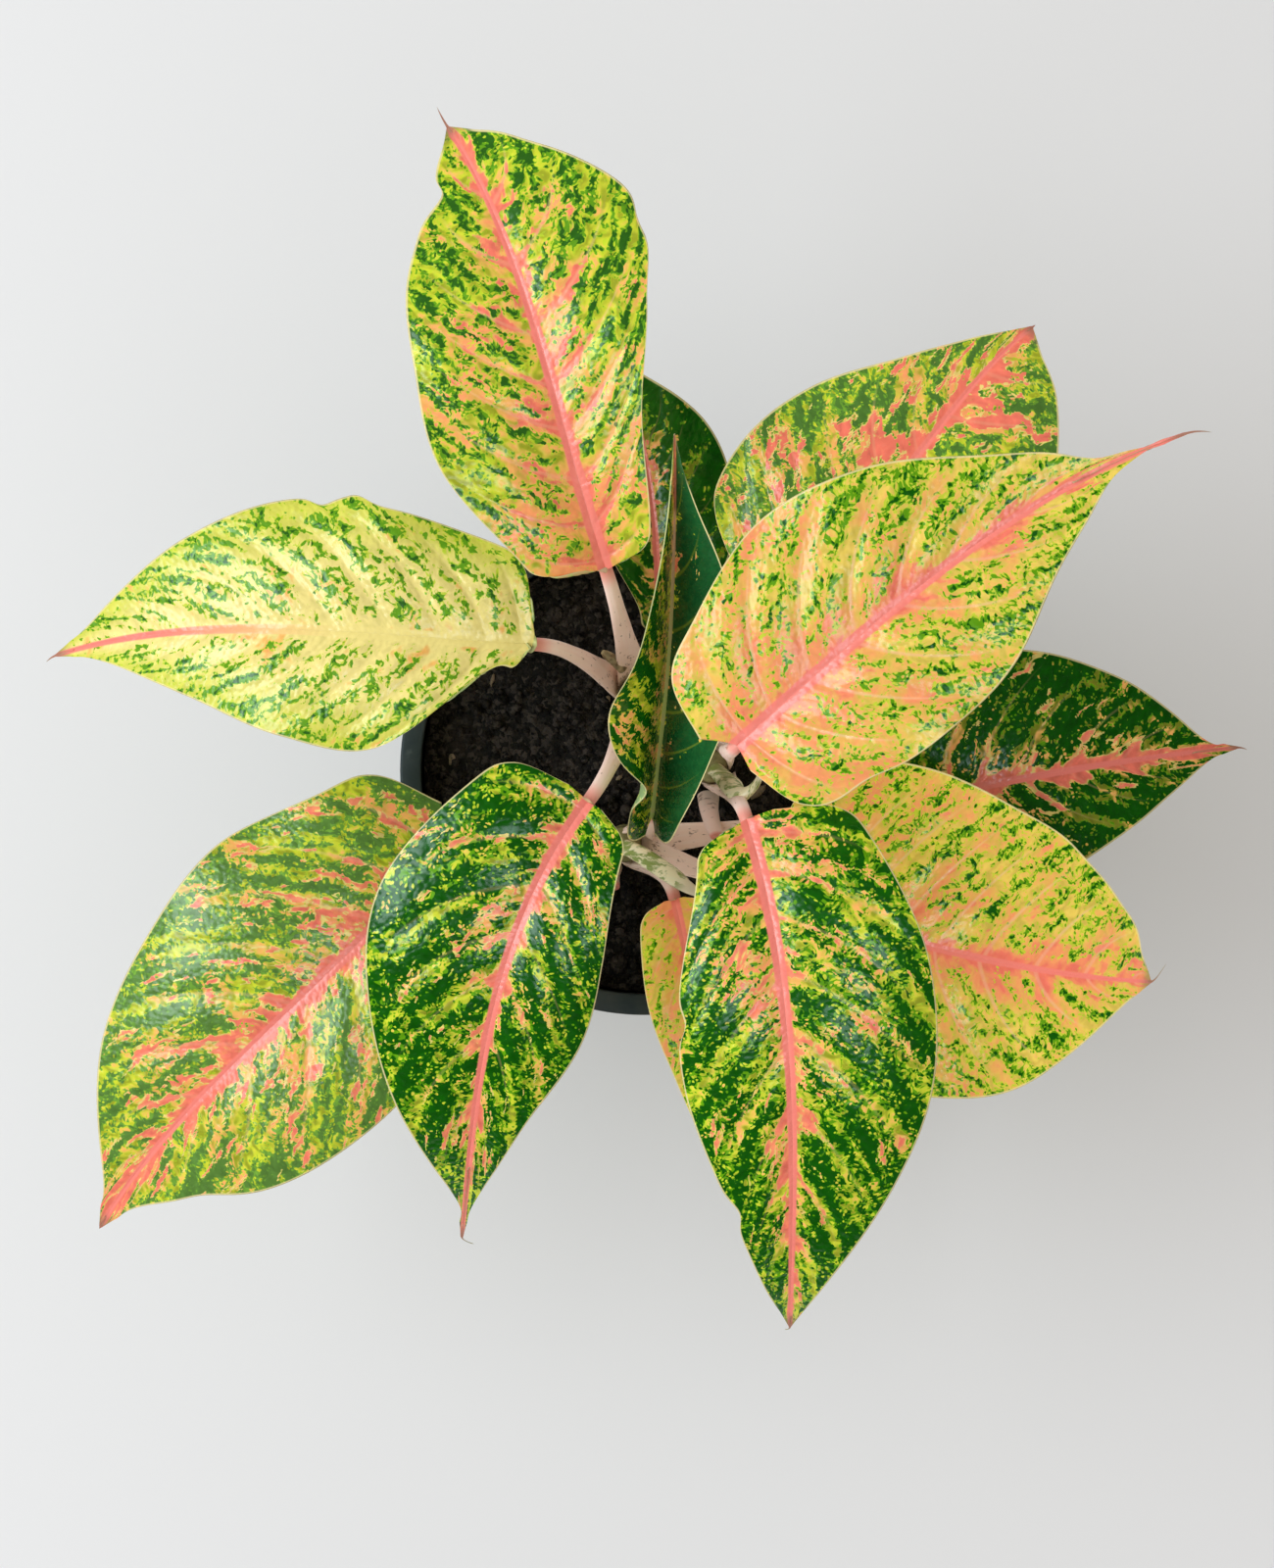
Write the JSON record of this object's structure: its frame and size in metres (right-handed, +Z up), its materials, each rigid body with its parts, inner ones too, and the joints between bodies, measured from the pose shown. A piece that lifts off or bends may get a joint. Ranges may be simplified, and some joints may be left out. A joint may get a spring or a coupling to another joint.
{
  "type": "potted spring red chinese evergreen",
  "caption": "Potted spring red chinese evergreen: broad arching leaves marbled in lime, dark green and pink on pale pink petioles, rooted in soil in a round dark plastic nursery pot.",
  "frame": {"origin": "middle of the pot's flat underside", "axes": "+Z up along the pot's axis, +Y towards the uppermost leaf of the picture, +X to the right of the picture"},
  "size_m": [0.3522, 0.3404, 0.2721],
  "materials": {
    "leaf_lime": "waxy leaf, lime marbled with green and pink",
    "leaf_green": "waxy leaf, mid green marbled with pink and lime",
    "leaf_dark": "waxy leaf, dark green with small pale and red patches",
    "petiole": "satin pink skin",
    "young_leaf": "satin cream and green, rolled",
    "dry_sheath": "dry and papery",
    "stem": "satin green cane with pale rings",
    "soil": "damp crumbly peat and bark",
    "pot": "satin moulded plastic"
  },
  "bodies": {
    "root": {"pot": "pot", "soil": "soil", "stem_back": "stem", "stem_right": "stem", "stem_front": "stem", "petiole_north": "petiole", "petiole_west": "petiole", "petiole_southwest": "petiole", "petiole_south_left": "petiole", "petiole_south_right": "petiole", "petiole_south_low": "petiole", "petiole_southeast": "petiole", "petiole_northeast": "petiole", "petiole_east": "petiole", "petiole_north_right": "petiole", "petiole_back": "petiole", "petiole_center": "petiole", "new_leaf_hook": "young_leaf", "new_leaf_spear": "young_leaf", "cut_petiole_right": "petiole", "cut_petiole_front": "petiole", "sheath_tip": "dry_sheath", "leaf_north": "leaf_lime", "leaf_west": "leaf_lime", "leaf_southwest": "leaf_green", "leaf_south_left": "leaf_dark", "leaf_south_right": "leaf_green", "leaf_south_low": "leaf_lime", "leaf_southeast": "leaf_lime", "leaf_northeast": "leaf_lime", "leaf_east": "leaf_dark", "leaf_north_right": "leaf_green", "leaf_back": "leaf_dark", "leaf_center": "leaf_dark"}
  },
  "joints": []
}
